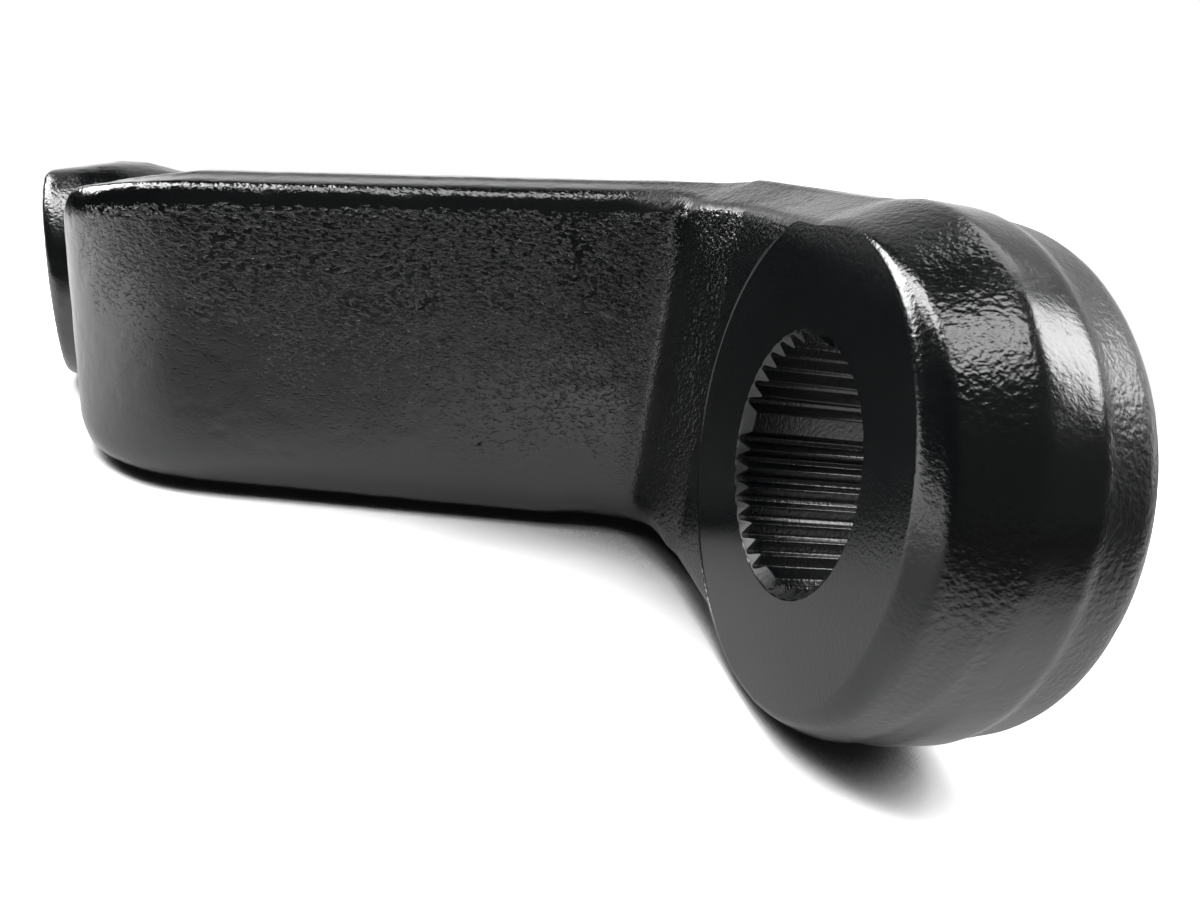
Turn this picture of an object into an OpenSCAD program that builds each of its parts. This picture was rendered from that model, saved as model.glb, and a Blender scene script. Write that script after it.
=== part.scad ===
// Pitman arm: a one-piece steel forging with a splined eye, a cranked arm and a tapered small end.
// X is the reach from eye to small end, Y the drop along the bore, Z up as the arm lies on its edge.
// The origin is the centre of the eye's nut face.

/* [Eye] */
// Diameter of the eye over its trimmed land
eye_d = 66; // [60:0.5:76]
// Height of the eye along its bore
eye_h = 25; // [23:0.5:32]
// Diameter of the eye's forged shoulder at the level of the nut face
shoulder_d = 60.6; // [56:0.2:63]
// How far the forged shoulder is set towards the arm
shoulder_shift_x = 1; // [0:0.1:2]
// How far the forged shoulder is set to the side
shoulder_shift_z = -1.2; // [-2:0.1:2]
// Distance from the nut face to the trimmed land
land_y = 8.2; // [6:0.1:9]
// Width of the trimmed land round the whole forging
land_h = 6.8; // [4:0.1:8]
// How far the trimmed land stands proud of the forged sides
land_step = 0.4; // [0.2:0.05:0.8]
// Loss of the eye's radius between the land and the back rounding
rim_taper = 0.9; // [0.3:0.1:3]
// Depth of the rounding at the eye's back face
back_round_h = 5.5; // [3:0.1:7]
// Radial width of the rounding at the eye's back face
back_round_w = 6; // [3:0.1:8]
// Diameter of the spot-facing cut that levels the nut face into the arm
spot_face_d = 61.5; // [58:0.5:64]
// Diameter at the nut face of the bevel cone that eases the eye's free end
bevel_d = 64.2; // [60:0.2:68]
// How far the bevel cone is set towards the arm
bevel_shift_x = 5.6; // [3:0.1:8]
// How far the bevel cone is set to the side
bevel_shift_z = -1.8; // [-3:0.1:3]
// Radial width of the bevel for each unit of depth
bevel_slope = 2.2; // [1:0.1:4]

/* [Spline] */
// Number of serration pitches round the bore
spline_count = 36; // [24:4:48]
// Number of wide blank teeth that set the arm's position on the shaft
blank_count = 4; // [1:1:4]
// Diameter over the serration roots
spline_major_d = 32.85; // [28:0.05:34]
// Diameter over the serration tips
spline_minor_d = 30.5; // [25:0.05:31]
// Half of the flat at each serration root, as a share of the pitch
root_flat = 0.13; // [0.05:0.01:0.2]
// Half of the flat at each serration tip, as a share of the pitch
tip_flat = 0.05; // [0.02:0.01:0.15]
// Turn of the first blank tooth from the line of the reach
spline_clock = 2.2; // [-5:0.1:5]
// Depth of the chamfer at both mouths of the bore
mouth_chamfer = 1.3; // [0.5:0.1:3]
// How far the chamfer opens past the serration roots, on the radius
mouth_lip = 0.15; // [0.05:0.05:1.5]

/* [Arm] */
// Distance along X from the eye's axis to the middle of the small end
reach = 122; // [112:1:150]
// Distance along Y from the nut face to the middle of the small end
drop = 103.5; // [90:0.5:125]
// Angle of the steep middle stretch from the plane of the eye
drop_angle = 85.5; // [78:0.5:89]
// Angle of the link to the small end from the plane of the eye
link_angle = 12; // [4:0.5:18]
// Distance from the eye's axis to the middle stretch's inner face, at the level of the nut face
inner_x = 48; // [44:0.5:54]
// Thickness of the middle stretch
arm_t = 22; // [18:0.5:26]
// Thickness of the link at the small end
link_t = 19; // [15:0.5:24]
// Width of the arm from the eye to the start of the upper bend
root_w = 64.8; // [58:0.2:65]
// Width of the arm at the end of the upper bend
upper_w = 62.2; // [52:0.2:64]
// Width of the arm at the start of the lower bend
lower_w = 52.4; // [44:0.2:56]
// Width of the arm at the end of the lower bend
bend_w = 46; // [42:0.5:52]
// Width of the link at the small end
link_w = 42; // [36:0.5:46]
// Smallest inside radius of the upper bend
upper_bend_r = 1.5; // [1:0.5:10]
// Inside radius of the lower bend
lower_bend_r = 6.5; // [4:0.5:12]
// Size of the arm's rounded edges across its width
edge_w = 6; // [3:0.25:10]
// Size of the arm's rounded edges through its thickness
edge_h = 2.8; // [1:0.1:5]
// Forging draft on the arm's sides, both ways from the land
draft = 9; // [2:0.5:12]
// Forging draft at the arm's root, where the sides flare into the eye
root_draft = 24; // [10:1:28]
// Sideways lean of the lower bend
bend_lean = 2.8; // [0:0.1:6]
// How far the forging stands above the spot-faced level
root_step = 0.2; // [0.1:0.1:1]
// How far the arm's inner face rises between the nut face and the upper bend
root_rise = 3.9; // [1:0.1:5]
// How far the arm's lower side is held above the surface that both ends lie on
side_gap = 0.8; // [0.3:0.1:2]

/* [Small end] */
// Diameter of the small end over its trimmed land
boss_d = 48.6; // [44:0.1:56]
// Height of the small end along its hole
boss_h = 34; // [30:0.5:40]
// Tilt of the stud axis towards the eye
stud_tilt = 14.5; // [6:0.5:18]
// Sideways lean of the stud axis
stud_lean = 4.4; // [0:0.1:8]
// Forging draft on the small end, both ways from the land
boss_draft = 12; // [6:0.5:18]
// Depth of the small end's rounded shoulders
boss_round_h = 2.2; // [1:0.1:5]
// Radial width of the small end's rounded shoulders
boss_round_w = 2.2; // [1:0.1:4]
// Diameter of the tapered stud hole at its seat
stud_d = 22.5; // [18:0.1:25]
// Length in which the stud hole narrows by one unit of diameter
stud_taper = 8; // [6:0.5:12]
// Chamfer at both mouths of the stud hole
stud_chamfer = 0.8; // [0.3:0.1:1.5]

/* [Hidden] */
$fn = 96;
// Steps along a bend, and along a rounded edge of the arm's section
bend_steps = 12;
edge_steps = 5;
// How far cutting tools run past a face
over = 1;

eye_r = eye_d / 2;
boss_r = boss_d / 2;
// Both ends lie on the same surface, so the small end's axis is lower than the eye's
boss_z = boss_r * cos(stud_lean) + land_h / 2 * sin(stud_lean) - eye_r;

// Centre line of the arm: the root leaves the eye level, the middle stretch drops, the link levels out
root_y = -land_y - land_h / 2;
root_t = 2 * (root_step - root_y);
bend_y = root_y + root_rise / 2;
bend_t = root_t + root_rise;
middle_x0 = inner_x + arm_t / 2 / sin(drop_angle);
upper_r = upper_bend_r + bend_t / 2;
lower_r = lower_bend_r + arm_t / 2;
// Corner where the root line meets the middle line
upper_corner = [middle_x0 + bend_y / tan(drop_angle), bend_y];
// Corner where the middle line meets the link line
link_rise = tan(link_angle);
lower_corner_y = (drop - (reach - middle_x0) * link_rise) / (1 - link_rise / tan(drop_angle));
lower_corner = [middle_x0 + lower_corner_y / tan(drop_angle), lower_corner_y];
upper_run = upper_r * tan(drop_angle / 2);
lower_run = lower_r * tan((drop_angle - link_angle) / 2);

// Unit direction along the centre line, and its normal towards the inner face
function along(a) = [cos(a), sin(a)];
function inward(a) = [-sin(a), cos(a)];
function mix(a, b, f) = a + (b - a) * f;
function reversed(list) = [for (i = [len(list) - 1 : -1 : 0]) list[i]];

// Stations are [point, direction, thickness, width, lean of the section, draft]
function upper_station(f) =
    let (a = drop_angle * f)
    let (start = upper_corner - [upper_run, 0])
    let (point = start + upper_r * (inward(0) - inward(a)))
    [point, a, mix(bend_t, arm_t, f), mix(root_w, upper_w, f), 0, mix(root_draft, draft, f)];
function lower_station(f) =
    let (a = mix(drop_angle, link_angle, f))
    let (start = lower_corner - lower_run * along(drop_angle))
    let (point = start + lower_r * (inward(a) - inward(drop_angle)))
    [point, a, mix(arm_t, link_t, f), mix(lower_w, bend_w, f), bend_lean, draft];

root_station = [[0, root_y], 0, root_t, root_w, 0, root_draft];
rise_station = [[spot_face_d / 2, root_y], 0, root_t, root_w, 0, root_draft];
link_station = [[reach, drop], link_angle, link_t, link_w, bend_lean, draft];
stations = concat(
    [root_station, rise_station],
    [for (i = [0 : bend_steps]) upper_station(i / bend_steps)],
    [for (i = [0 : bend_steps]) lower_station(i / bend_steps)],
    [link_station]
);

// One quarter of the arm's section from its face to its land, as [thickness, width] points
function section_quarter(t, w, slant) =
    let (side_w = w / 2 - land_step)
    let (last = atan(edge_h / edge_w * tan(slant)))
    let (centre_n = t / 2 - edge_h)
    let (side_n = centre_n + edge_h * sin(last))
    let (centre_w = side_w - edge_w * cos(last) - (side_n - land_h / 2) * tan(slant))
    concat(
        [for (i = [0 : edge_steps])
            let (a = mix(90, last, i / edge_steps))
            [centre_n + edge_h * sin(a), centre_w + edge_w * cos(a)]],
        [[land_h / 2 + land_step, side_w], [land_h / 2, w / 2]]
    );
function section(t, w, slant) =
    let (quarter = section_quarter(t, w, slant))
    concat(
        quarter,
        [for (p = reversed(quarter)) [-p[0], p[1]]],
        [for (p = quarter) [-p[0], -p[1]]],
        [for (p = reversed(quarter)) [p[0], -p[1]]]
    );
// The section's lower side is kept level with both ends of the arm
function placed(station) =
    let (level = station[3] / 2 + side_gap - eye_r)
    [for (p = section(station[2], station[3], station[5]))
        let (q = station[0] + p[0] * inward(station[1]))
        [q[0], q[1] + p[1] * tan(station[4]), level + p[1]]];

module arm() {
    rings = [for (s = stations) placed(s)];
    n = len(rings[0]);
    last = len(rings) - 1;
    points = [for (ring = rings) for (p = ring) p];
    sides = [for (k = [0 : last - 1]) for (i = [0 : n - 1])
        let (j = (i + 1) % n)
        for (face = [[k * n + i, k * n + n + i, k * n + j], [k * n + j, k * n + n + i, k * n + n + j]])
            face];
    near_cap = [[for (i = [0 : n - 1]) i]];
    far_cap = [[for (i = [n - 1 : -1 : 0]) last * n + i]];
    polyhedron(points = points, faces = concat(sides, near_cap, far_cap), convexity = 6);
}

// Turns a profile of [radius, height] points about the Y axis, with its height along +Y
module turned(profile) {
    rotate([-90, 0, 0])
        rotate_extrude()
            polygon(profile);
}

// Cone frustum along Y between two heights
module cone_y(y0, r0, y1, r1) {
    turned([[0, y0], [r0, y0], [r1, y1], [0, y1]]);
}

// Cone about an axis set off from the bore, with its radius given at the level of the nut face
module eye_cone(shift_x, shift_z, face_r, slope) {
    low = -eye_h - over;
    high = root_step + over;
    translate([shift_x, 0, shift_z])
        cone_y(low, face_r - low * slope, high, face_r - high * slope);
}

module eye() {
    drum_r = eye_r - land_step;
    rim_r = eye_r - rim_taper;
    rim_y = back_round_h - eye_h;
    shift = norm([shoulder_shift_x, shoulder_shift_z]);
    shoulder_slope = (drum_r + shift - shoulder_d / 2) / (land_y - land_step);
    intersection() {
        turned(concat(
            [
                [0, root_step],
                [drum_r, root_step],
                [drum_r, land_step - land_y],
                [eye_r, -land_y],
                [eye_r, -land_y - land_h],
                [drum_r, -land_y - land_h - land_step]
            ],
            [for (a = [0 : 30 : 90]) [rim_r - back_round_w * (1 - cos(a)), rim_y - back_round_h * sin(a)]],
            [[0, -eye_h]]
        ));
        eye_cone(shoulder_shift_x, shoulder_shift_z, shoulder_d / 2, shoulder_slope);
        eye_cone(bevel_shift_x, bevel_shift_z, bevel_d / 2, bevel_slope);
    }
}

// Places children in the small end's own frame, with Y along the stud axis
module at_small_end() {
    translate([reach, drop, boss_z])
        rotate([0, 0, stud_tilt])
            rotate([-stud_lean, 0, 0])
                children();
}

module small_end() {
    round_y = boss_h / 2 - boss_round_h;
    round_r = boss_r - (round_y - land_h / 2) * tan(boss_draft);
    half = concat(
        [[boss_r, land_h / 2]],
        [for (a = [0 : 30 : 90]) [round_r - boss_round_w * (1 - cos(a)), round_y + boss_round_h * sin(a)]],
        [[0, boss_h / 2]]
    );
    at_small_end()
        turned(concat(reversed(half), [for (p = half) [p[0], -p[1]]]));
}

module serrations() {
    pitch = 360 / spline_count;
    half_root = pitch * root_flat;
    half_tip = pitch * tip_flat;
    per_blank = spline_count / blank_count;
    tip_r = spline_minor_d / 2;
    root_r = spline_major_d / 2;
    outline = [for (i = [0 : spline_count - 1])
        let (root_a = spline_clock + i * pitch)
        let (tip_a = root_a + pitch / 2)
        let (blank = i % per_blank == 0)
        for (p = concat(
            blank ? [] : [[root_r, root_a - half_root], [root_r, root_a + half_root]],
            [[tip_r, tip_a - half_tip], [tip_r, tip_a + half_tip]]
        ))
            [p[0] * cos(p[1]), p[0] * sin(p[1])]];
    translate([0, over, 0])
        rotate([90, 0, 0])
            linear_extrude(eye_h + 2 * over)
                polygon(outline);
}

// Chamfer cone that opens from a radius at depth zero and narrows inwards
module spline_mouth() {
    lip_r = spline_major_d / 2 + mouth_lip;
    slope = (lip_r - spline_minor_d / 2) / mouth_chamfer;
    cone_y(-mouth_chamfer - over, lip_r - (mouth_chamfer + over) * slope, over, lip_r + over * slope);
}

module spline_bore() {
    serrations();
    spline_mouth();
    translate([0, -eye_h, 0])
        mirror([0, 1, 0])
            spline_mouth();
}

module stud_hole() {
    half_h = boss_h / 2;
    slope = 1 / stud_taper / 2;
    seat_r = stud_d / 2;
    far_r = seat_r - boss_h * slope;
    at_small_end() {
        cone_y(-half_h - over, far_r - over * slope, half_h + over, seat_r + over * slope);
        cone_y(half_h - stud_chamfer, seat_r - stud_chamfer * slope, half_h + over, seat_r + stud_chamfer + over);
        cone_y(-half_h - over, far_r + stud_chamfer + over, stud_chamfer - half_h, far_r + stud_chamfer * slope);
    }
}

module spot_face() {
    cone_y(0, spot_face_d / 2, root_step + over, spot_face_d / 2);
}

module pitman_arm() {
    color([0.07, 0.07, 0.08])
        difference() {
            union() {
                eye();
                arm();
                small_end();
            }
            spot_face();
            spline_bore();
            stud_hole();
        }
}

pitman_arm();
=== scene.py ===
"""Pitman arm: a glossy black painted forging on a white surface."""
import math

import bmesh
import bpy
import numpy as np
from mathutils import Matrix, Vector, noise


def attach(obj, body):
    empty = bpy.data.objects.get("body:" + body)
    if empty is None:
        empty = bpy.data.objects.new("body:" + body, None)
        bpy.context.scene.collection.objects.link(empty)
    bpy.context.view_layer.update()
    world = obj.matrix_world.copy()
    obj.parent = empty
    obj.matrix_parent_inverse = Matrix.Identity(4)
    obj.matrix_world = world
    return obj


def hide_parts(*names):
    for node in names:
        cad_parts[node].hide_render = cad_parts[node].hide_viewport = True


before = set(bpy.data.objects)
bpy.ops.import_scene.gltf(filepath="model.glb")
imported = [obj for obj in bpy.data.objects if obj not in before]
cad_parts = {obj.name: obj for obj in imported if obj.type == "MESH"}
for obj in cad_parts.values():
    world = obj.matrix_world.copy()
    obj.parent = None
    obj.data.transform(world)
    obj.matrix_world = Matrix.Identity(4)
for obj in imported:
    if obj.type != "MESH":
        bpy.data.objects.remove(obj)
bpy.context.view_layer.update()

MM = 0.001

# Sizes of the part, in millimetres and degrees, as in its CAD source but with radii for diameters
EYE_R, EYE_H = 33.0, 25.0
SHOULDER_R, SHOULDER_X, SHOULDER_Z = 30.3, 1.0, -1.2
LAND_Y, LAND_H, LAND_STEP = 8.2, 6.8, 0.4
RIM_TAPER = 0.9
BACK_ROUND_H, BACK_ROUND_W = 5.5, 6.0
SPOT_FACE_R = 30.75
BEVEL_R, BEVEL_X, BEVEL_Z, BEVEL_SLOPE = 32.1, 5.6, -1.8, 2.2
SPLINES, BLANKS = 36, 4
SPLINE_ROOT_R, SPLINE_TIP_R = 16.425, 15.25
ROOT_FLAT, TIP_FLAT, SPLINE_CLOCK = 0.13, 0.05, 2.2
MOUTH_H, MOUTH_LIP = 1.3, 0.15
REACH, DROP = 122.0, 103.5
DROP_ANGLE, LINK_ANGLE = 85.5, 12.0
INNER_X = 48.0
ARM_T, LINK_T = 22.0, 19.0
ROOT_W, UPPER_W, LOWER_W, BEND_W, LINK_W = 64.8, 62.2, 52.4, 46.0, 42.0
UPPER_BEND_R, LOWER_BEND_R = 1.5, 6.5
EDGE_W, EDGE_H = 6.0, 2.8
DRAFT, ROOT_DRAFT = 9.0, 24.0
BEND_LEAN = 2.8
ROOT_STEP, ROOT_RISE, SIDE_GAP = 0.2, 3.9, 0.8
BOSS_R, BOSS_H = 24.3, 34.0
STUD_TILT, STUD_LEAN = 14.5, 4.4
BOSS_DRAFT, BOSS_ROUND = 12.0, 2.2
STUD_R, STUD_TAPER, STUD_CHAMFER = 11.25, 8.0, 0.8

# Sizes of the scene alone, in millimetres and degrees
# Grid of the remeshed forging, the share of its faces that stays, and the film that the spot face removes
VOXEL, KEPT_FACES, FACE_STOCK = 0.55, 0.42, 0.03
# Roundings of the flare, which is crisper than the arm, and the rise in draft that brings them in
FLARE_EDGE_W, FLARE_EDGE_H, EDGE_CHANGE = 1.2, 0.84, 0.8
# Steps round each serration, the angle that eases its corners, and the broken edge of the mouth
SPLINE_STEPS, SPLINE_EASE, MOUTH_ROUND = 24, 0.4, 0.12
# Size and depth of the waves and of the dents in the forged skin
WAVE_SIZE, WAVE_DEPTH = 16.0, 0.08
DENT_SIZE, DENT_DEPTH = 4.0, 0.07
# Place of the crease between the flare and the arm, along the bore
CREASE_Y = 4.5
# Step at both edges of the small end's land
BOSS_STEP = 0.2
# How far cutting tools run past a face
OVER = 1.0
# Edges that turn more than this stay sharp
SHARP_ANGLE = 32.0

ROOT_Y = -LAND_Y - LAND_H / 2
LAND_END = -LAND_Y - LAND_H
STUD_LEAN_RAD = math.radians(STUD_LEAN)
BOSS_Z = BOSS_R * math.cos(STUD_LEAN_RAD) + LAND_H / 2 * math.sin(STUD_LEAN_RAD) - EYE_R
SMALL_END = (
    Matrix.Translation((REACH, DROP, BOSS_Z))
    @ Matrix.Rotation(math.radians(STUD_TILT), 4, "Z")
    @ Matrix.Rotation(math.radians(-STUD_LEAN), 4, "X")
)


def mix(a, b, f):
    return a + (b - a) * f


def smoothstep(lo, hi, x):
    """Eases from 0 at lo to 1 at hi, where lo may also be the larger."""
    t = np.clip((x - lo) / (hi - lo), 0, 1)
    return t * t * (3 - 2 * t)


def tan(a):
    return math.tan(math.radians(a))


def along(a):
    """Direction of the arm's path at an angle from the reach."""
    a = math.radians(a)
    return np.array([math.cos(a), math.sin(a)])


def inward(a):
    """Direction square to the path, towards the inner face."""
    a = math.radians(a)
    return np.array([-math.sin(a), math.cos(a)])


# Solids as rings of points
def rings_mesh(name, rings):
    """A closed mesh in metres from rings of points in millimetres, with a flat cap at each end."""
    rings = np.asarray(rings, float)
    k, n, _ = rings.shape
    i = np.arange(n)
    j = (i + 1) % n
    faces = []
    for row in range(k - 1):
        a = row * n
        faces += np.stack([a + i, a + j, a + n + j, a + n + i], 1).tolist()
    faces.append(list(range(n))[::-1])
    faces.append([(k - 1) * n + v for v in range(n)])
    mesh = bpy.data.meshes.new(name)
    mesh.from_pydata((rings.reshape(-1, 3) * MM).tolist(), [], faces)
    bm = bmesh.new()
    bm.from_mesh(mesh)
    bmesh.ops.recalc_face_normals(bm, faces=bm.faces)
    bm.to_mesh(mesh)
    bm.free()
    obj = bpy.data.objects.new(name, mesh)
    bpy.context.scene.collection.objects.link(obj)
    return obj


def turned(profile, steps=288, place=None):
    """Rings of a profile of [radius, height] points turned about the Y axis."""
    a = np.linspace(0, 2 * math.pi, steps, endpoint=False)
    rings = [np.stack([r * np.cos(a), np.full(steps, y), r * np.sin(a)], 1) for r, y in profile]
    rings = np.array(rings)
    if place is not None:
        m = np.array(place)
        rings = rings @ m[:3, :3].T + m[:3, 3]
    return rings


def line(p, q, n):
    """Points from p towards q without q itself."""
    return [(mix(p[0], q[0], f), mix(p[1], q[1], f)) for f in np.linspace(0, 1, n, endpoint=False)]


def eye_rings():
    rim_r, rim_y = EYE_R - RIM_TAPER, BACK_ROUND_H - EYE_H
    drum_r = EYE_R - LAND_STEP
    # Radii on the flat faces, the core's inside the bore, which is cut later
    core_r, front_r, back_r = 12, 22, 20
    # Each corner with the number of points up to the next one
    corners = [
        (core_r, FACE_STOCK, 4),
        (front_r, FACE_STOCK, 40),
        (drum_r, FACE_STOCK, 16),
        (drum_r, LAND_STEP - LAND_Y, 2),
        (EYE_R, -LAND_Y, 8),
        (EYE_R, LAND_END, 2),
        (drum_r, LAND_END - LAND_STEP, 6),
        (rim_r, rim_y, 1),
    ]
    profile = []
    for (r0, y0, n), (r1, y1, _) in zip(corners, corners[1:]):
        profile += line((r0, y0), (r1, y1), n)
    for a in np.linspace(0, math.pi / 2, 13):
        r = rim_r - BACK_ROUND_W * (1 - math.cos(a))
        profile.append((r, rim_y - BACK_ROUND_H * math.sin(a)))
    profile += [(back_r, -EYE_H), (core_r, -EYE_H)]
    rings = turned(profile)
    # Two cones set off from the bore limit the height of the front: the forged shoulder and the bevel
    shift = math.hypot(SHOULDER_X, SHOULDER_Z)
    shoulder_slope = (drum_r + shift - SHOULDER_R) / (LAND_Y - LAND_STEP)
    for cx, cz, r, slope in (
        (SHOULDER_X, SHOULDER_Z, SHOULDER_R, shoulder_slope),
        (BEVEL_X, BEVEL_Z, BEVEL_R, BEVEL_SLOPE),
    ):
        off = np.hypot(rings[..., 0] - cx, rings[..., 2] - cz)
        rings[..., 1] = np.minimum(rings[..., 1], (r - off) / slope)
    return rings


def section(t, w, slant, edge_w, edge_h, steps=18):
    """The arm's section as [thickness, width] points round its whole outline."""
    side_w = w / 2 - LAND_STEP
    last = math.atan(edge_h / edge_w * tan(slant))
    centre_n = t / 2 - edge_h
    side_n = centre_n + edge_h * math.sin(last)
    centre_w = side_w - edge_w * math.cos(last) - (side_n - LAND_H / 2) * tan(slant)
    turn = np.linspace(math.pi / 2, last, steps)
    arc = np.stack([centre_n + edge_h * np.sin(turn), centre_w + edge_w * np.cos(turn)], 1)
    quarter = np.concatenate([arc, [(LAND_H / 2 + LAND_STEP, side_w), (LAND_H / 2, w / 2)]])
    back = quarter[::-1]
    return np.concatenate([quarter, back * [-1, 1], quarter * [-1, -1], back * [1, -1]])


def arm_stations():
    """Sections along the arm: middle point, direction, thickness, width, lean and draft."""
    middle_x0 = INNER_X + ARM_T / 2 / math.sin(math.radians(DROP_ANGLE))
    root_t = 2 * (ROOT_STEP - ROOT_Y)
    bend_y, bend_t = ROOT_Y + ROOT_RISE / 2, root_t + ROOT_RISE
    upper_r, lower_r = UPPER_BEND_R + bend_t / 2, LOWER_BEND_R + ARM_T / 2
    upper_corner = np.array([middle_x0 + bend_y / tan(DROP_ANGLE), bend_y])
    rise = tan(LINK_ANGLE)
    corner_y = (DROP - (REACH - middle_x0) * rise) / (1 - rise / tan(DROP_ANGLE))
    lower_corner = np.array([middle_x0 + corner_y / tan(DROP_ANGLE), corner_y])
    upper_start = upper_corner - upper_r * tan(DROP_ANGLE / 2) * along(0)
    lower_start = lower_corner - lower_r * tan((DROP_ANGLE - LINK_ANGLE) / 2) * along(DROP_ANGLE)

    stations = [(np.array([x, ROOT_Y]), 0, root_t, ROOT_W, 0, ROOT_DRAFT) for x in (0, SPOT_FACE_R)]
    for f in np.linspace(0, 1, 40):
        a = DROP_ANGLE * f
        p = upper_start + upper_r * (inward(0) - inward(a))
        t, w = mix(bend_t, ARM_T, f), mix(ROOT_W, UPPER_W, f)
        stations.append((p, a, t, w, 0, mix(ROOT_DRAFT, DRAFT, f)))
    upper_end = stations[-1]
    for f in np.linspace(0, 1, 25)[1:-1]:
        p = mix(upper_end[0], lower_start, f)
        stations.append((p, DROP_ANGLE, ARM_T, mix(UPPER_W, LOWER_W, f), BEND_LEAN * f, DRAFT))
    for f in np.linspace(0, 1, 40):
        a = mix(DROP_ANGLE, LINK_ANGLE, f)
        p = lower_start + lower_r * (inward(a) - inward(DROP_ANGLE))
        stations.append((p, a, mix(ARM_T, LINK_T, f), mix(LOWER_W, BEND_W, f), BEND_LEAN, DRAFT))
    bend_end = stations[-1]
    for f in np.linspace(0, 1, 13)[1:]:
        p = mix(bend_end[0], np.array([REACH, DROP]), f)
        stations.append((p, LINK_ANGLE, LINK_T, mix(BEND_W, LINK_W, f), BEND_LEAN, DRAFT))
    return stations


def arm_rings():
    rings = []
    for p, a, t, w, lean, slant in arm_stations():
        crisp = smoothstep(DRAFT, DRAFT + EDGE_CHANGE, slant)
        s = section(t, w, slant, mix(EDGE_W, FLARE_EDGE_W, crisp), mix(EDGE_H, FLARE_EDGE_H, crisp))
        q = p + s[:, :1] * inward(a)
        level = w / 2 + SIDE_GAP - EYE_R
        rings.append(np.stack([q[:, 0], q[:, 1] + s[:, 1] * tan(lean), level + s[:, 1]], 1))
    return rings


def boss_rings():
    round_y = BOSS_H / 2 - BOSS_ROUND
    drum_r = BOSS_R - BOSS_STEP
    round_r = BOSS_R - (round_y - LAND_H / 2) * tan(BOSS_DRAFT)
    half = [(BOSS_R, 0), (BOSS_R, LAND_H / 2 - BOSS_STEP)]
    half += line((drum_r, LAND_H / 2 + BOSS_STEP), (round_r, round_y), 8)
    for a in np.linspace(0, math.pi / 2, 9):
        half.append((round_r - BOSS_ROUND * (1 - math.cos(a)), round_y + BOSS_ROUND * math.sin(a)))
    # Two points on the flat face, the last where the stud hole is cut later
    half += [(14, BOSS_H / 2), (8, BOSS_H / 2)]
    profile = half[::-1] + [(r, -y) for r, y in half[1:]]
    return turned(profile, 224, SMALL_END)


def spline_radius(a):
    """Radius of the serrated bore at angles a, in radians from the line of the reach."""
    pitch = 2 * math.pi / SPLINES
    turns = (a - math.radians(SPLINE_CLOCK)) / pitch
    index = np.round(turns)
    off = turns - index
    f = np.clip((0.5 - TIP_FLAT - np.abs(off)) / (0.5 - TIP_FLAT - ROOT_FLAT), 0, 1)
    r = mix(SPLINE_TIP_R, SPLINE_ROOT_R, f)
    chord = SPLINE_TIP_R * math.cos(pitch / 2) / np.cos(off * pitch)
    return np.where(index % (SPLINES // BLANKS) == 0, chord, r)


def bore_rings():
    """The tool that cuts the serrated bore, its two mouths and the spot face in one piece."""
    steps = SPLINES * SPLINE_STEPS
    a = np.linspace(0, 2 * math.pi, steps, endpoint=False)
    eased = np.linspace(-1, 1, 5) * SPLINE_EASE
    teeth = np.mean([spline_radius(a + math.radians(d)) for d in eased], 0)
    lip = SPLINE_ROOT_R + MOUTH_LIP
    slope = (lip - SPLINE_TIP_R) / MOUTH_H
    # Depth at which the cone of the mouth meets each point of the teeth, and one clear of them all
    end = (lip - teeth) / slope
    clear = MOUTH_H + 0.5

    def ring(r, y):
        return np.stack([r * np.cos(a), np.broadcast_to(y, steps), r * np.sin(a)], 1)

    # Shares of that depth where the rings of a mouth lie
    parts = (0.2, 0.6, 1.0)
    rings = [ring(lip + slope * OVER, -EYE_H - OVER)]
    rings += [ring(lip - slope * end * f, end * f - EYE_H) for f in parts]
    rings += [ring(teeth, clear - EYE_H), ring(teeth, -clear)]
    rings += [ring(lip - slope * end * f, -end * f) for f in parts[::-1]]
    rings += [ring(lip + MOUTH_ROUND, 0), ring(SPOT_FACE_R, 0)]
    rings.append(ring(SPOT_FACE_R + ROOT_STEP + OVER, ROOT_STEP + OVER))
    return rings


def stud_rings():
    """The tool that cuts the tapered stud hole with its two chamfers."""
    half = BOSS_H / 2
    slope = 1 / STUD_TAPER / 2
    far = STUD_R - BOSS_H * slope
    c = STUD_CHAMFER
    profile = [
        (far + c + OVER, -half - OVER),
        (far + c * slope, c - half),
        (STUD_R - c * slope, half - c),
        (STUD_R + c + OVER, half + OVER),
    ]
    return turned(profile, 128, SMALL_END)


# Work on meshes
def apply_modifier(obj, kind, **settings):
    m = obj.modifiers.new(kind.lower(), kind)
    for key, value in settings.items():
        setattr(m, key, value)
    graph = bpy.context.evaluated_depsgraph_get()
    new = bpy.data.meshes.new_from_object(obj.evaluated_get(graph))
    obj.modifiers.clear()
    old = obj.data
    obj.data = new
    bpy.data.meshes.remove(old)


def points_of(mesh):
    co = np.empty(len(mesh.vertices) * 3)
    mesh.vertices.foreach_get("co", co)
    return co.reshape(-1, 3)


def normals_of(mesh):
    no = np.empty(len(mesh.vertices) * 3)
    mesh.vertex_normals.foreach_get("vector", no)
    return no.reshape(-1, 3)


def set_points(mesh, co):
    mesh.vertices.foreach_set("co", co.ravel())
    mesh.update()


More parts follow.
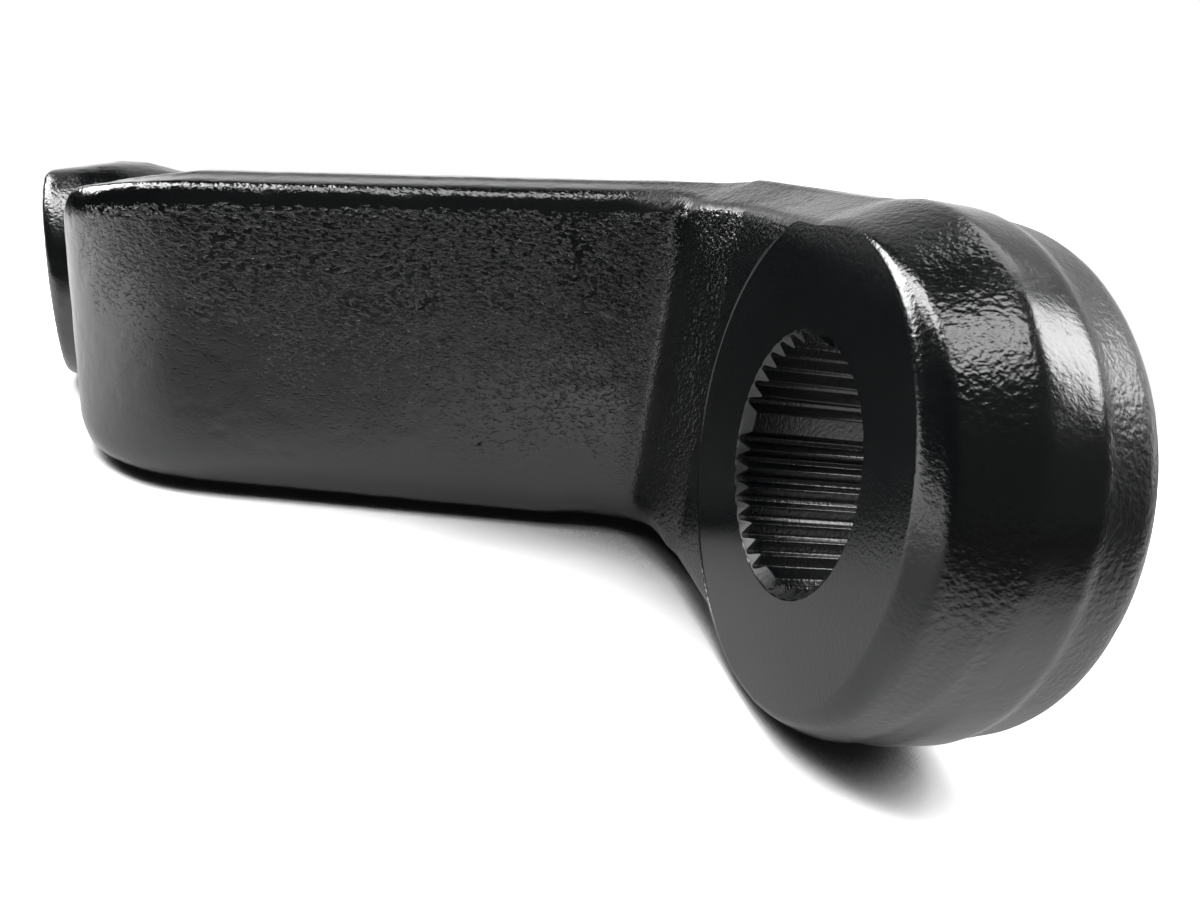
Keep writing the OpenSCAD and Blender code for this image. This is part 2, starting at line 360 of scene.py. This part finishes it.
def relax(mesh, weight, rounds):
    """Laplacian smoothing with a weight of up to 1 for each vertex, at half strength."""
    co = points_of(mesh)
    edges = np.empty(len(mesh.edges) * 2, int)
    mesh.edges.foreach_get("vertices", edges)
    a, b = edges.reshape(-1, 2).T
    n = len(co)
    count = np.bincount(a, minlength=n) + np.bincount(b, minlength=n)
    step = 0.5 * weight[:, None]
    for _ in range(rounds):
        total = np.stack(
            [np.bincount(a, co[b, k], n) + np.bincount(b, co[a, k], n) for k in range(3)], 1
        )
        co = co + step * (total / count[:, None] - co)
    set_points(mesh, co)


def fbm(points, size, octaves, seed):
    """Fractal noise of about -1 to 1 at points in millimetres."""
    offset = Vector((seed * 17.3, seed * 5.1, seed * 11.7))
    return np.array([noise.fractal(Vector(p) / size + offset, 1.0, 2.0, octaves) for p in points])


def zones(co):
    """Distances from the axes of the eye and the small end, and points in the small end's own frame."""
    eye_off = np.hypot(co[:, 0], co[:, 2])
    local = (co - np.array(SMALL_END.translation)) @ np.array(SMALL_END.to_3x3())
    boss_off = np.hypot(local[:, 0], local[:, 2])
    return eye_off, boss_off, local


def sharpen_rim(mesh, inside):
    """Marks the edges between the polygons that are inside a set and those that aren't."""
    loops = len(mesh.loops)
    edge = np.empty(loops, int)
    mesh.loops.foreach_get("edge_index", edge)
    sizes = np.empty(len(mesh.polygons), int)
    mesh.polygons.foreach_get("loop_total", sizes)
    owner = np.repeat(inside, sizes)
    count = len(mesh.edges)
    split = (np.bincount(edge, owner, count) > 0) & (np.bincount(edge, ~owner, count) > 0)
    sharp = mesh.attributes["sharp_edge"].data
    old = np.empty(count, bool)
    sharp.foreach_get("value", old)
    sharp.foreach_set("value", old | split)


# Forging: three forms joined into one skin
body = rings_mesh("pitman_arm_visual", eye_rings())
arm = rings_mesh("arm", arm_rings())
boss = rings_mesh("boss", boss_rings())
bpy.ops.object.select_all(action="DESELECT")
for o in (body, arm, boss):
    o.select_set(True)
bpy.context.view_layer.objects.active = body
bpy.ops.object.join()
apply_modifier(body, "REMESH", mode="VOXEL", voxel_size=VOXEL * MM, adaptivity=0.0)

# Die fillets: the whole skin a little, then the small end's neck, the crease, its lower part and the root
co = points_of(body.data) / MM
x, y, z = co.T
eye_off, boss_off, local = zones(co)
everywhere = np.ones(len(co))
near_boss = smoothstep(BOSS_R + 9, BOSS_R + 3, boss_off) * smoothstep(BOSS_R - 4, BOSS_R - 1, boss_off)
near_boss *= (x < REACH) * smoothstep(16, 12, np.abs(local[:, 1]))
crease_x, crease_y = np.abs(x - INNER_X), np.abs(y - CREASE_Y)
near_crease = smoothstep(7, 3, crease_x) * smoothstep(10, 6, crease_y)
below_top = smoothstep(14, 8, crease_x) * smoothstep(14, 8, crease_y) * smoothstep(27, 19, z)
near_root = smoothstep(EYE_R + 11, EYE_R + 3, eye_off) * smoothstep(EYE_R - 8, EYE_R - 4, eye_off)
near_root *= (x > 8) * (y < -8)
for weight, rounds in (
    (everywhere, 5),
    (near_boss, 60),
    (near_crease, 26),
    (below_top, 120),
    (near_root, 40),
):
    relax(body.data, weight, rounds)

# Forged skin: broad waves and shallow dents, always inwards
co = points_of(body.data) / MM
no = normals_of(body.data)
waves = smoothstep(-0.6, 0.6, fbm(co, WAVE_SIZE, 2, 1))
dents = smoothstep(-0.1, 0.7, fbm(co, DENT_SIZE, 3, 2))
depth = WAVE_DEPTH * waves + DENT_DEPTH * dents
# The eye's die-formed end is truer than the arm, and its face is flat before it is cut
on_eye = smoothstep(32, 22, co[:, 0])
depth *= 1 - on_eye * (1 - 0.4 * smoothstep(0.3, 3.5, -co[:, 1]))
co -= no * depth[:, None]
# Nothing stands past the CAD solid's box
co[:, 0] = np.maximum(co[:, 0], -EYE_R + 0.03)
co[:, 1] = np.maximum(co[:, 1], -EYE_H + 0.01)
set_points(body.data, co * MM)
apply_modifier(body, "DECIMATE", ratio=KEPT_FACES)

# Machining
for tool in (rings_mesh("bore", bore_rings()), rings_mesh("stud", stud_rings())):
    apply_modifier(body, "BOOLEAN", operation="DIFFERENCE", solver="EXACT", object=tool)
    bpy.data.objects.remove(tool)
mesh = body.data
mesh.polygons.foreach_set("use_smooth", np.ones(len(mesh.polygons), bool))
mesh.set_sharp_from_angle(angle=math.radians(SHARP_ANGLE))
centres = np.empty(len(mesh.polygons) * 3)
mesh.polygons.foreach_get("center", centres)
slopes = np.empty(len(mesh.polygons) * 3)
mesh.polygons.foreach_get("normal", slopes)
nut_face = (np.abs(centres[1::3]) < 0.01 * MM) & (slopes[1::3] > 0.999)
sharpen_rim(mesh, nut_face)


# Kinds of surface, for the paint
def surface_kinds(co, no):
    """What lies under the paint at points in millimetres with their normals, as named weights."""
    x, y, z = co.T
    eye_off, boss_off, local = zones(co)
    facing, upward, sideways = -no[:, 0], no[:, 2], np.abs(no[:, 2])

    # Cut surfaces
    face = (np.abs(y) < 0.02) & (eye_off < SPOT_FACE_R + 0.1)
    bore = (eye_off < SPLINE_ROOT_R + MOUTH_LIP + 0.05) & (np.abs(x) < 20)
    mouth = bore & (y < -0.02) & (y > -MOUTH_H - 0.2)
    machined = face | bore | (y < 0.05 - EYE_H)

    # Arm: the pitted inner face, its top rounding, the blend into the eye and the flare above it
    inner_face = smoothstep(0.5, 0.85, facing) * smoothstep(0.28, 0.1, upward) * smoothstep(2, 5, y)
    pits = inner_face * (0.15 + 0.85 * smoothstep(-24, 6, z)) * smoothstep(116, 92, y)
    pits *= 1 - 0.6 * smoothstep(62, 84, y) * smoothstep(8, -8, z)
    top_edge = smoothstep(0.4, 0.6, upward) * smoothstep(0.95, 0.8, upward)
    top_edge *= (y > 4) * smoothstep(0.1, 0.4, facing)
    blend = smoothstep(12, 5, y) * (x > 15) * smoothstep(58, 54, x) * (y > 0.05)
    flare = (x > 20) * smoothstep(14, 8, y) * (y > -9) * smoothstep(0.1, 0.4, sideways) * ~face
    flare_edge = flare * smoothstep(0.92, 0.8, sideways)

    # Eye and small end
    drum = smoothstep(EYE_R - 6, EYE_R - 4, eye_off) * (y < -0.2) * (y > -LAND_Y) * (x < 20)
    drum *= smoothstep(0.75, 0.6, no[:, 1])
    at_land = np.abs(y - ROOT_Y) < LAND_H / 2 + 0.1
    trimmed = at_land * smoothstep(EYE_R - 0.5, EYE_R - 0.2, eye_off) * (x < 30)
    back_rim = smoothstep(LAND_END - 0.3, LAND_END - 1, y) * (y > 0.3 - EYE_H) * (x < 25)
    small_end = smoothstep(BOSS_R + 3, BOSS_R + 1, boss_off) * smoothstep(9, 12, local[:, 1])

    dullness = 0.25 * flare_edge + 0.04 * trimmed + 0.04 * drum + 0.18 * back_rim
    dullness += 0.1 * small_end + 0.3 * mouth * smoothstep(4, -5, z)
    return {
        "machined": machined,
        "bore": bore,
        "pits": pits,
        "ripples": flare,
        "blend": blend * (1 - flare),
        "dimples": np.maximum.reduce([top_edge, 0.6 * drum, 0.6 * back_rim]),
        "dullness": dullness,
    }


for name, values in surface_kinds(points_of(mesh) / MM, normals_of(mesh)).items():
    layer = mesh.attributes.new(name, "FLOAT", "POINT")
    layer.data.foreach_set("value", values.astype(np.float32))


# Materials
class Nodes:
    """Short names for the nodes of one tree."""

    def __init__(self, tree):
        self.tree = tree
        tree.nodes.clear()

    def new(self, kind, inputs=None, **settings):
        node = self.tree.nodes.new(kind)
        for key, value in settings.items():
            setattr(node, key, value)
        for key, value in (inputs or {}).items():
            self.put(value, node.inputs[key])
        return node

    def put(self, value, socket):
        if isinstance(value, bpy.types.NodeSocket):
            self.tree.links.new(value, socket)
        else:
            socket.default_value = value

    def math(self, operation, a, b):
        return self.new("ShaderNodeMath", {0: a, 1: b}, operation=operation).outputs[0]

    def vector(self, operation, a, b=(0.0, 0.0, 0.0), output="Vector"):
        return self.new("ShaderNodeVectorMath", {0: a, 1: b}, operation=operation).outputs[output]

    def length(self, a):
        return self.vector("LENGTH", a, output="Value")

    def axes(self, a):
        return self.new("ShaderNodeSeparateXYZ", {0: a}).outputs

    def attribute(self, name):
        return self.new("ShaderNodeAttribute", attribute_name=name).outputs["Fac"]

    def noise(self, place, scale, detail=2.0, rough=0.5, distortion=0.0):
        return self.new(
            "ShaderNodeTexNoise",
            {
                "Vector": place,
                "Scale": scale,
                "Detail": detail,
                "Roughness": rough,
                "Distortion": distortion,
            },
        ).outputs["Fac"]

    def span(self, value, lo, hi, to_lo=0.0, to_hi=1.0):
        return self.new(
            "ShaderNodeMapRange",
            {"Value": value, "From Min": lo, "From Max": hi, "To Min": to_lo, "To Max": to_hi},
        ).outputs["Result"]

    def ease(self, value, lo, hi):
        return self.new(
            "ShaderNodeMapRange",
            {"Value": value, "From Min": lo, "From Max": hi},
            interpolation_type="SMOOTHSTEP",
        ).outputs["Result"]

    def stretch(self, place, scale):
        return self.new("ShaderNodeMapping", {"Vector": place, "Scale": scale}).outputs["Vector"]

    def turn(self, place, angle):
        rotation = (0.0, 0.0, math.radians(angle))
        return self.new("ShaderNodeMapping", {"Vector": place, "Rotation": rotation}).outputs["Vector"]

    def diffuse(self, colour):
        return self.new("ShaderNodeBsdfDiffuse", {"Color": colour}).outputs[0]

    def blend(self, share, first, second):
        return self.new("ShaderNodeMixShader", {0: share, 1: first, 2: second}).outputs[0]


def paint_material():
    mat = bpy.data.materials.new("black_paint")
    mat.use_nodes = True
    n = Nodes(mat.node_tree)
    place = n.new("ShaderNodeTexCoord").outputs["Object"]
    machined = n.attribute("machined")
    ripples = n.attribute("ripples")

    # Orange peel of the paint, the skin of the forging under it and the marks of the tools
    peel = n.noise(place, 700.0, 3.0, 0.5)
    grain = n.noise(place, 1900.0, 3.0, 0.6)
    cast = n.noise(place, 1500.0, 2.0, 0.55, 0.4)
    patches = n.ease(n.noise(place, 90.0, 2.0), 0.3, 0.6)
    pits = n.math("MULTIPLY", n.attribute("pits"), n.span(patches, 0.0, 1.0, 0.5, 1.0))
    crackle = n.noise(n.stretch(place, (1.0, 0.55, 1.0)), 1700.0, 3.0, 0.6, 0.5)
    crackle = n.span(crackle, 0.3, n.span(pits, 0.0, 1.0, 0.4, 0.58))
    ripple = n.noise(n.stretch(n.turn(place, -45), (1.0, 0.45, 0.45)), 1300.0, 2.0, 0.55, 0.4)
    dimple = n.noise(place, 1400.0, 1.0, 0.5)
    chatter = n.noise(n.stretch(place, (0.5, 1.0, 0.5)), 4500.0, 2.0)

    # Each with its strength and its depth in metres
    bumps = (
        (peel, n.math("MULTIPLY", n.math("SUBTRACT", 1.0, machined), 0.4), 0.00010),
        (grain, n.span(machined, 0.0, 1.0, 0.3, 0.36), 0.00012),
        (cast, n.math("MULTIPLY", n.attribute("blend"), 0.6), 0.00030),
        (crackle, n.ease(pits, 0.0, 0.6), 0.00011),
        (ripple, n.math("MULTIPLY", ripples, 0.8), 0.00045),
        (dimple, n.math("MULTIPLY", n.attribute("dimples"), 0.6), 0.00022),
        (chatter, n.math("MULTIPLY", n.attribute("bore"), 0.4), 0.00006),
    )
    normal = n.new("ShaderNodeNewGeometry").outputs["Normal"]
    for height, strength, distance in bumps:
        inputs = {"Height": height, "Strength": strength, "Distance": distance, "Normal": normal}
        normal = n.new("ShaderNodeBump", inputs).outputs[0]

    rough = n.span(n.noise(place, 160.0, 4.0, 0.6), 0.3, 0.7, 0.1, 0.17)
    rough = n.math("ADD", rough, n.math("MULTIPLY", ripples, 0.08))
    rough = n.math("ADD", rough, n.attribute("dullness"))
    bsdf = n.new(
        "ShaderNodeBsdfPrincipled",
        {
            "Base Color": (0.0025, 0.0034, 0.0038, 1.0),
            "Roughness": rough,
            "IOR": 1.95,
            "Normal": normal,
        },
    )
    out = n.new("ShaderNodeOutputMaterial")
    n.put(bsdf.outputs[0], out.inputs["Surface"])
    return mat


def floor_material():
    """White to the camera out to the horizon, with the object's shadow on it, deepened near the object by
    painted shade.

    The paint sees the floor white only near the object, with a painted shadow in front of the arm. Ahead
    of it, towards the dark part of the room, the white fades soonest into painted shade.
    """
    mat = bpy.data.materials.new("floor_white")
    mat.use_nodes = True
    n = Nodes(mat.node_tree)
    path = n.new("ShaderNodeLightPath").outputs
    place = n.new("ShaderNodeTexCoord").outputs["Object"]
    axes = n.axes(place)

    # For the camera: the lit shadow near the object, deepened by painted shade from the occlusion, and
    # plain white farther out
    open_sky = n.new("ShaderNodeAmbientOcclusion", {"Distance": 0.05}, samples=8).outputs["AO"]
    near = n.diffuse(n.span(open_sky, 0.3, 0.56, 0.2, 2.8))
    white = n.new("ShaderNodeEmission", {"Color": (1.0, 1.0, 1.0, 1.0), "Strength": 1.0}).outputs[0]
    seen = n.blend(n.ease(n.length(place), 0.16, 0.4), near, white)

    # For the paint: a painted shadow in front of the arm, and painted shade far away
    shade_centre = (-0.09, 0.03, 0.0)
    off_shade = n.vector("DISTANCE", place, shade_centre, "Value")
    shaded = n.diffuse(n.span(off_shade, 0.05, 0.115, 0.32, 1.0))
    ahead = n.math("MAXIMUM", n.math("MULTIPLY", axes["X"], -1.5), n.math("MULTIPLY", axes["X"], 0.5))
    aside = n.math("MULTIPLY", axes["Y"], 0.5)
    reach = n.length(n.new("ShaderNodeCombineXYZ", {"X": ahead, "Y": aside}).outputs[0])
    dark = n.diffuse((0.05, 0.05, 0.05, 1.0))
    mirrored = n.blend(n.ease(reach, 0.10, 0.34), shaded, dark)

    plain = n.diffuse((0.92, 0.92, 0.92, 1.0))
    mixed = n.blend(path["Is Glossy Ray"], plain, mirrored)
    mixed = n.blend(path["Is Camera Ray"], mixed, seen)
    out = n.new("ShaderNodeOutputMaterial")
    n.put(mixed, out.inputs["Surface"])
    return mat


mesh.materials.clear()
mesh.materials.append(paint_material())
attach(body, "root")
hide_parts("pitman_arm")

# Stage, in metres
FLOOR_HALF = 3.0
CENTRE = Vector((0.05, 0.08, 0.0))
LAMP_DISTANCE = 0.8


def direction(azimuth, elevation):
    """Unit vector at an azimuth from +X towards +Y and an elevation, in degrees."""
    a, e = math.radians(azimuth), math.radians(elevation)
    return Vector((math.cos(e) * math.cos(a), math.cos(e) * math.sin(a), math.sin(e)))


def add_floor():
    s = FLOOR_HALF
    m = bpy.data.meshes.new("floor")
    m.from_pydata([(-s, -s, 0), (s, -s, 0), (s, s, 0), (-s, s, 0)], [], [(0, 1, 2, 3)])
    m.materials.append(floor_material())
    floor = bpy.data.objects.new("floor", m)
    bpy.context.scene.collection.objects.link(floor)
    floor.location = (CENTRE.x, CENTRE.y, -EYE_R * MM)


def add_lamp(name, azimuth, elevation, width, height, radiance):
    """A soft box aimed at the object, its power set from the brightness of its face."""
    data = bpy.data.lights.new(name, "AREA")
    data.shape = "RECTANGLE"
    data.size, data.size_y = width, height
    data.energy = radiance * math.pi * width * height
    obj = bpy.data.objects.new(name, data)
    bpy.context.scene.collection.objects.link(obj)
    d = direction(azimuth, elevation)
    obj.location = CENTRE + d * LAMP_DISTANCE
    obj.rotation_euler = (-d).to_track_quat("-Z", "Y").to_euler()


def add_world():
    """White to the camera. The paint sees a dark room in front and a white one behind, dimmer upwards."""
    world = bpy.data.worlds.new("studio")
    bpy.context.scene.world = world
    world.use_nodes = True
    n = Nodes(world.node_tree)
    path = n.new("ShaderNodeLightPath").outputs
    way = n.new("ShaderNodeTexCoord").outputs["Generated"]
    height = n.axes(way)["Z"]
    level = n.vector("NORMALIZE", n.vector("MULTIPLY", way, (1.0, 1.0, 0.0)))
    front = n.vector("DOT_PRODUCT", level, direction(145, 0), "Value")
    side = n.vector("DOT_PRODUCT", level, direction(-140, 0), "Value")
    overhead = n.ease(height, 0.86, 0.97)
    dark = n.math("MULTIPLY", n.ease(front, -0.57, -0.42), n.math("SUBTRACT", 1.0, overhead))
    room = n.math("MULTIPLY", n.math("SUBTRACT", 1.0, dark), n.span(height, 0.0, 1.0, 1.3, 0.0))
    room = n.math("ADD", room, n.span(side, -1.0, 1.0, 0.005, 0.07))
    strength = n.math("MAXIMUM", path["Is Camera Ray"], room)
    back = n.new("ShaderNodeBackground", {"Color": (1.0, 1.0, 1.0, 1.0), "Strength": strength})
    out = n.new("ShaderNodeOutputWorld")
    n.put(back.outputs[0], out.inputs["Surface"])


add_floor()
add_lamp("left_low", 50, 25, 0.28, 0.30, 11.0)
add_lamp("left_mid", 66, 43, 0.24, 0.24, 7.0)
add_lamp("left_high", 84, 60, 0.30, 0.30, 7.0)
add_lamp("right", -110, 41, 0.27, 0.42, 6.5)
add_lamp("back", -62, 60, 0.36, 0.36, 1.5)
add_lamp("top", 163, 69, 0.42, 0.26, 3.5)
add_world()

# Camera, as fitted to the photograph
CAMERA_PLACE = (-0.09177, 0.04864, 0.03106)
CAMERA_RIGHT = Vector((-0.2059, -0.9663, 0.1546)).normalized()
CAMERA_UP = Vector((0.3399, 0.0775, 0.9372))

cam_data = bpy.data.cameras.new("camera")
cam_data.sensor_fit = "HORIZONTAL"
cam_data.sensor_width = 36.0
cam_data.lens = 25.8
cam_data.clip_start = 0.005
cam_data.clip_end = 20.0
cam = bpy.data.objects.new("camera", cam_data)
bpy.context.scene.collection.objects.link(cam)
backward = CAMERA_RIGHT.cross(CAMERA_UP).normalized()
pose = Matrix((CAMERA_RIGHT, backward.cross(CAMERA_RIGHT), backward)).transposed().to_4x4()
pose.translation = CAMERA_PLACE
cam.matrix_world = pose
bpy.context.scene.camera = cam

bpy.context.scene.view_settings.view_transform = "Standard"
